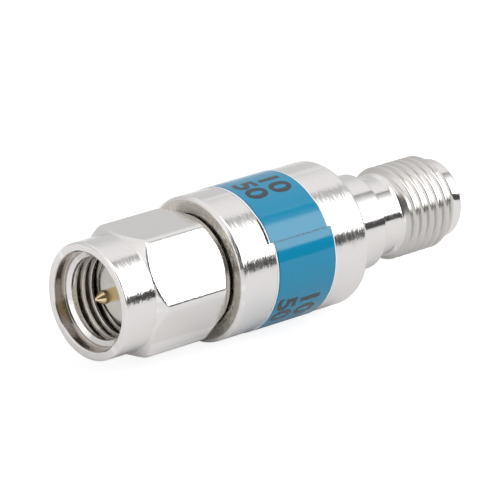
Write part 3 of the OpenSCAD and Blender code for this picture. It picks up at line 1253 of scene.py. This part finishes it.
@dataclass
class LabelledBody(SubAssembly):
    """The round body, the tape wrapped once round it and the plain numbers printed on the tape."""

    bevel: float = 0.2
    front_bevel: float = 0.22
    front_round: float = 0.2
    back_bevel: float = 0.09
    wall: float = 0.9
    front_wall: float = 1.6
    spigot_r: float = 2.45
    ink_t: float = 0.006
    ink_under: float = 0.002
    ink_clear: float = 0.0005
    tape_steps: int = 240
    tape_seat: float = 0.002
    tape_edge: float = 0.015
    tape_rows: int = 9
    tape_inset: float = 0.4
    tape_lift: float = 0.1
    lift_from: float = 333
    lift_to: float = 346.5
    digit_h: float = 1.65
    digit_weight: float = 0.045
    type_size: float = 1.38
    slice_w: float = 0.12
    print_shift: float = 0.12
    line_gap: float = 0.4
    first_angle: float = 213
    last_angle: float = 461
    repeats: int = 5

    def sleeve(self) -> bpy.types.Object:
        """Turns the body with its bevelled edges and its cavity.

        Returns:
            The object.
        """
        front, back = span("body_sleeve")
        outer_r = radius_of("body_sleeve")
        cavity_r = outer_r - self.wall
        return turned("body_dressed", [
            Corner(front, self.spigot_r, Edge.CRISP),
            Corner(front + self.front_wall, self.spigot_r),
            Corner(front + self.front_wall, cavity_r),
            Corner(back, cavity_r, Edge.DEBURRED),
            Corner(back, outer_r - self.back_bevel, Edge.DEBURRED),
            Corner(back - self.bevel, outer_r, Edge.SOFT),
            Corner(front + self.front_bevel, outer_r, self.front_round),
            Corner(front, outer_r - self.front_bevel, self.front_round),
        ])

    def tape(self) -> bpy.types.Object:
        """Wraps the tape once round the body, drifting as it goes, its last stretch lifted off a little.

        Returns:
            The object.
        """
        wrap = TapeWrap()
        inner_r = radius_of("body_sleeve") + self.tape_seat
        outer_r = radius_of("label_tape") - self.ink_t
        edge = self.tape_edge
        inside = np.linspace(self.tape_inset, wrap.width - self.tape_inset, self.tape_rows)
        across = np.concatenate([[0, 0, edge], inside, [wrap.width - edge, wrap.width, wrap.width]])
        up = np.ones(len(across))
        up[[0, -1]] = 0
        up[[1, -2]] = 1 - edge / (outer_r - inner_r)
        verts = []
        for turn in np.linspace(0, 1, self.tape_steps + 1):
            degrees = turn * (360 + wrap.overlap) - wrap.overlap / 2
            angle = math.radians(wrap.seam + degrees)
            share = np.clip((degrees - self.lift_from) / (self.lift_to - self.lift_from), 0, 1)
            lift = self.tape_lift * share**2 * (3 - 2 * share)
            x = wrap.start - wrap.drift * turn + across
            r = inner_r + lift + up * (outer_r - inner_r)
            verts.append(np.column_stack([x, r * math.cos(angle), r * math.sin(angle)]))
        count = len(across)
        faces = []
        for here in range(0, self.tape_steps * count, count):
            there = here + count
            for k in range(count):
                after = (k + 1) % count
                faces.append((here + k, here + after, there + after, there + k))
        last = self.tape_steps * count
        faces.append(tuple(range(count)))
        faces.append(tuple(range(last + count - 1, last - 1, -1)))
        return finished_object("tape_dressed", np.concatenate(verts), faces)

    def number(self, text: str, name: str) -> bmesh.types.BMesh:
        """Draws a plain number flat, in millimetres, sliced for bending.

        Args:
            text: The digits.
            name: Name of the working curve.

        Returns:
            The flat number, centred along its line.
        """
        curve = bpy.data.curves.new(name, "FONT")
        curve.body = text
        curve.size = self.type_size * self.digit_h
        curve.offset = self.digit_weight * self.digit_h
        curve.align_x = "CENTER"
        held = bpy.data.objects.new(name, curve)
        bpy.context.scene.collection.objects.link(held)
        bpy.context.view_layer.update()
        flat = bpy.data.meshes.new_from_object(held.evaluated_get(bpy.context.evaluated_depsgraph_get()))
        bpy.data.objects.remove(held)
        bm = bmesh.new()
        bm.from_mesh(flat)
        reach = max(abs(v.co.x) for v in bm.verts)
        for cut in np.arange(-reach, reach, self.slice_w):
            everything = bm.verts[:] + bm.edges[:] + bm.faces[:]
            bmesh.ops.bisect_plane(bm, geom=everything, plane_co=(cut, 0, 0), plane_no=(1, 0, 0))
        return bm

    def printed(self, name: str, text: str, base_x: float) -> bpy.types.Object:
        """Bends a line of numbers round the tape.

        Args:
            name: The object's name.
            text: The digits, repeated along the line.
            base_x: Place of the digits' feet along the axis.

        Returns:
            The object, a thin film of ink.
        """
        flat = self.number(text, name + "_flat")
        flat.verts.ensure_lookup_table()
        points = np.array([v.co[:2] for v in flat.verts])
        shapes = [[v.index for v in f.verts] for f in flat.faces]
        low_r = radius_of("label_tape") - self.ink_t - self.ink_under
        high_r = radius_of("label_tape") - self.ink_clear
        rim = [[v.index for v in e.verts] for e in flat.edges if len(e.link_faces) == 1]
        verts, faces = [], []
        for centre in np.linspace(self.first_angle, self.last_angle, self.repeats):
            angle = np.radians(centre) + points[:, 0] / high_r
            start = sum(len(v) for v in verts)
            for r in (low_r, high_r):
                verts.append(np.column_stack([base_x + points[:, 1], r * np.cos(angle), r * np.sin(angle)]))
            top = start + len(points)
            faces += [[top + k for k in face] for face in shapes]
            faces += [[start + k for k in reversed(face)] for face in shapes]
            faces += [[start + a, start + b, top + b, top + a] for a, b in rim]
        flat.free()
        return finished_object(name, np.concatenate(verts), faces)

    def build(self) -> None:
        """Makes the body, the tape and its print, and hangs them on the main body."""
        self.hang(self.sleeve(), "body_sleeve", Body.MAIN, "body_nickel")
        self.hang(self.tape(), "label_tape", Body.MAIN, "blue_tape")
        left, right = span("label_tape")
        middle = (left + right) / 2
        for name, text, base in (
            ("print_near_jack", "10", middle + self.line_gap / 2),
            ("print_near_plug", "50", middle - self.line_gap / 2 - self.digit_h),
        ):
            ink = self.printed(name, text, base - self.print_shift)
            self.palette.dress(ink, "ink")
            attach(ink, Body.MAIN.value)
            LOG.info("%s: %d faces", ink.name, len(ink.data.polygons))


@dataclass
class Jack(CoaxialEnd):
    """The threaded jack: its shell, its front insulator and its slotted contact."""

    collar_r: float = 3.25
    collar_len: float = 3.25
    relief_r: float = 2.65
    relief_len: float = 2.0
    thread_rise: float = 0.45
    rise_round: float = 0.3
    thread_len: float = 4.65
    thread_fall: float = 0.45
    pilot_r: float = 2.72
    pilot_bevel: float = 0.12
    depth_share: float = 0.553
    crest_share: float = 0.30
    soft: float = 0.12
    slot_w: float = 0.14
    slot_len: float = 1.9

    def shell(self) -> bpy.types.Object:
        """Turns the shell with its flange, collar, relief, thread and plain end.

        Returns:
            The object.
        """
        start, end = span("jack_shell")
        body_back = span("body_sleeve")[1]
        flange_r = radius_of("jack_shell")
        inside_r = radius_of("jack_front_insulator")
        reference = span("jack_front_insulator")[1]
        bore_r = mount_radius("jack_bore")
        crest_r = mount_radius("jack_thread")
        collar_back = body_back + self.collar_len
        relief_back = collar_back + self.relief_len
        thread_back = relief_back + self.thread_len
        run_start, run_end = relief_back - self.thread_rise, thread_back + self.pilot_bevel
        envelope = outline([
            Corner(run_start, self.relief_r),
            Corner(relief_back, self.relief_r, self.rise_round),
            Corner(relief_back + self.thread_rise, crest_r, Edge.BROAD),
            Corner(thread_back - self.thread_fall, crest_r, Edge.BROAD),
            Corner(thread_back, self.pilot_r, Edge.BROAD),
            Corner(run_end, self.pilot_r),
        ])
        form = self.depth_share, self.crest_share, self.soft
        thread = ThreadForm(crest_r, ThreadSide.OUTER, *form)
        return turned("jack_dressed", [
            Corner(start, inside_r),
            Corner(start, flange_r),
            Corner(body_back, flange_r, Edge.DEBURRED),
            Corner(body_back, self.collar_r, Edge.DEBURRED),
            Corner(collar_back, self.collar_r, Edge.BROAD),
            Corner(collar_back, self.relief_r, Edge.ROUND),
            ThreadRun(thread, run_start, run_end, envelope),
            Corner(end, self.pilot_r, self.pilot_bevel),
            Corner(end, bore_r + self.pilot_bevel, Edge.BROKEN),
            Corner(end - self.pilot_bevel, bore_r, Edge.BROKEN),
            Corner(reference, bore_r),
            Corner(reference, inside_r, Edge.CRISP),
        ])

    def contact(self) -> bpy.types.Object:
        """Turns the contact and saws its four socket slots and the slot that takes the chip.

        Returns:
            The object.
        """
        start, face = span("jack_contact")
        shoulder = span("jack_front_insulator")[0]
        socket_r = mount_radius("jack_socket")
        depth = mount("jack_socket")["dims"]["length_mm"]
        contact = turned("contact_dressed", [
            Corner(start, 0),
            Corner(start, self.line_r, Edge.BROKEN),
            Corner(shoulder - self.shoulder_len, self.line_r),
            Corner(shoulder - self.shoulder_len, self.shoulder_r),
            Corner(shoulder, self.shoulder_r),
            Corner(shoulder, self.line_r),
            Corner(face, self.line_r, Edge.BROKEN),
            Corner(face, socket_r, Edge.EASED),
            Corner(face - depth, socket_r),
            Corner(face - depth, 0),
        ])
        wide, half = 2 * self.line_r, self.slot_w / 2
        deep, past = face - self.slot_len, face + SAW_OVER
        sawn(contact, [
            self.chip_slot(start - SAW_OVER, start + self.chip_grip),
            ((deep, -wide, -half), (past, wide, half)),
            ((deep, -half, -wide), (past, half, wide)),
        ])
        return contact

    def build(self) -> None:
        """Makes the three pieces and hangs them on the main body."""
        self.hang(self.shell(), "jack_shell", Body.MAIN, "jack_nickel")
        node = "jack_front_insulator"
        back, face = span(node)
        insulator = self.insulator("jack_insulator_dressed", node, face, back)
        self.hang(insulator, node, Body.MAIN, "fluoropolymer")
        self.hang(self.contact(), "jack_contact", Body.MAIN, "gold_plate")


@dataclass
class InnerParts(SubAssembly):
    """The pieces shut inside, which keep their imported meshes."""

    def build(self) -> None:
        """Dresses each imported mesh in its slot's finish."""
        slots = {part["node"]: part["material_slot"] for part in frame["record"]["subparts"]}
        inner = ("retaining_ring", "plug_rear_insulator", "jack_rear_insulator", "chip_clamp_upper",
                 "chip_clamp_lower", "attenuator_chip")
        for node in inner:
            self.palette.dress(frame["nodes"][node], slots[node])
            LOG.info("%s: dressed in %s", node, slots[node])


@dataclass
class Studio:
    """Floor, light tent and camera."""

    floor_half: float = 1500
    floor_glow: float = 0.86
    floor_shade: float = 0.24
    table_edge: Span = (140, 190)
    table_dark: float = 0.02
    paper: float = 0.68
    softbox_from: float = -95
    softbox_to: float = -9.5
    softbox_edge: float = -34
    softbox_blur: float = 0.012
    softbox_middle: Span = (-27, -37)
    softbox_low: Span = (10, 14)
    softbox_light: tuple[float, float, float] = (0.5, 1.35, 4.0)
    frame_to: float = -4.5
    frame_light: float = 0.32
    gap_light: float = 0.05
    tent_tint: Colour = (1.0, 0.99, 0.985)
    tent_light: Span = (0.70, 0.98)
    tent_rise: Span = (0.40, 0.78)
    fill_bearing: float = 178
    fill_height: float = 8
    fill_reach: Span = (38, 22)
    fill_light: float = 1.25
    backdrop_bearing: float = -128
    backdrop_height: float = 25
    backdrop_reach: Span = (33, 25)
    backdrop_light: float = 0.12
    camera_place: tuple[float, float, float] = (-182.97, -213.9, 102.2)
    camera_bearing: float = 47.78
    camera_drop: float = 19.45
    camera_near: float = 10
    lens: float = 336.6

    def floor(self) -> None:
        """Lays the pale floor under the part, which ends in a dark edge below the softbox."""
        level = CAD_BOX[0].z / MM
        ends = (-self.floor_half, self.floor_half)
        verts = np.array([[x, y, level] for x in ends for y in ends])
        floor = finished_object("floor", verts, [(0, 2, 3, 1)])
        tree, material = new_material("pale_floor")
        toward = self.way((self.softbox_from + self.softbox_to) / 2, 0)
        reach = {0: tree.place(), 1: toward}
        out = tree.add("VectorMath", reach, operation="DOT_PRODUCT").outputs["Value"]
        past = tree.ramp(out, *(d * MM for d in self.table_edge))
        shade = tree.mix(past, (self.paper,) * 3, (self.table_dark,) * 3)
        paper = tree.add("BsdfDiffuse", {"Color": shade}).outputs[0]
        glow = tree.add("Emission", {"Color": (1, 1, 1, 1), "Strength": self.floor_glow}).outputs[0]
        faint = tree.add("BsdfDiffuse", {"Color": (*(self.floor_shade,) * 3, 1)}).outputs[0]
        bright = tree.add("AddShader", {0: glow, 1: faint}).outputs[0]
        seen = tree.add("LightPath").outputs["Is Camera Ray"]
        shown = tree.add("MixShader", {0: seen, 1: paper, 2: bright}).outputs[0]
        tree.add("OutputMaterial", {"Surface": shown})
        floor.data.materials.append(material)

    @staticmethod
    def way(bearing: float, height: float) -> tuple[float, float, float]:
        """The direction at a bearing from +X and a height above the horizon, in degrees."""
        turn, rise = math.radians(bearing), math.radians(height)
        return math.cos(turn) * math.cos(rise), math.sin(turn) * math.cos(rise), math.sin(rise)

    def spot(self, tree: NodeTree, way: Socket, bearing: float, height: float, reach: Span) -> Socket:
        """A round soft-edged mask on the sky.

        Args:
            tree: The world's nodes.
            way: The direction that is looked at.
            bearing: Bearing of the spot's middle.
            height: Height of the spot's middle.
            reach: Angles from the middle at which the spot starts and is full.

        Returns:
            The mask.
        """
        centre = self.way(bearing, height)
        near = tree.add("VectorMath", {0: way, 1: centre}, operation="DOT_PRODUCT").outputs["Value"]
        return tree.ramp(near, *(math.cos(math.radians(a)) for a in reach))

    def tent(self) -> None:
        """Makes the light tent: a softbox in a dark frame, a gap below it, and the darker room in front."""
        world = bpy.data.worlds.new("light_tent")
        bpy.context.scene.world = world
        world.use_nodes = True
        tree = NodeTree(world.node_tree)
        way = tree.add("TexCoord").outputs["Generated"]
        axes = tree.add("SeparateXYZ", {0: way}).outputs
        bearing = tree.math("ARCTAN2", axes[1], axes[0])
        left, edge, right, rim = (math.radians(a) for a in (
            self.softbox_from, self.softbox_edge, self.softbox_to, self.frame_to))
        above = tree.ramp(axes[2], *(math.sin(math.radians(a)) for a in self.softbox_low))
        boxed = tree.window(bearing, left, right, self.softbox_blur)
        framed = tree.window(bearing, left, rim, self.softbox_blur)
        dim, bright, brightest = self.softbox_light
        bulb = tree.ramp(bearing, edge, right, (bright, dim))
        outer, inner = (math.radians(a) for a in self.softbox_middle)
        middle = tree.ramp(bearing, inner, outer, (1, 0))
        light = tree.ramp(axes[2], *self.tent_rise, self.tent_light)
        for mask, value in (
            (self.spot(tree, way, self.fill_bearing, self.fill_height, self.fill_reach), self.fill_light),
            (self.spot(tree, way, self.backdrop_bearing, self.backdrop_height, self.backdrop_reach),
             self.backdrop_light),
            (framed, self.gap_light),
            (tree.math("MULTIPLY", framed, above), self.frame_light),
            (tree.math("MULTIPLY", boxed, above), tree.blend(middle, bulb, brightest)),
        ):
            light = tree.blend(mask, light, value)
        sky = tree.add("Background", {"Color": (*self.tent_tint, 1), "Strength": light}).outputs[0]
        white = tree.add("Background", {"Color": (1, 1, 1, 1)}).outputs[0]
        seen = tree.add("LightPath").outputs["Is Camera Ray"]
        shown = tree.add("MixShader", {0: seen, 1: sky, 2: white}).outputs[0]
        tree.add("OutputWorld", {"Surface": shown})

    def camera(self) -> None:
        """Sets the camera as the photograph's was."""
        data = bpy.data.cameras.new("camera")
        data.lens = self.lens
        data.clip_start = self.camera_near * MM
        camera = bpy.data.objects.new("camera", data)
        bpy.context.scene.collection.objects.link(camera)
        forward = Vector(self.way(self.camera_bearing, -self.camera_drop))
        right = Vector(self.way(self.camera_bearing - 90, 0))
        turn = Matrix((right, right.cross(forward), -forward)).transposed()
        camera.matrix_world = Matrix.LocRotScale(Vector(self.camera_place) * MM, turn.to_quaternion(), None)
        bpy.context.scene.camera = camera

    def build(self) -> None:
        """Makes the studio."""
        self.floor()
        self.tent()
        self.camera()
        bpy.context.scene.view_settings.view_transform = "Standard"


def main() -> None:
    """Builds the studio and each sub-assembly."""
    logging.basicConfig(level=logging.INFO, format="%(name)s: %(message)s")
    Studio().build()
    palette = Palette()
    for assembly in (CouplingNut, PlugFront, LabelledBody, Jack, InnerParts):
        assembly(palette).build()


if __name__ == "__main__":
    main()
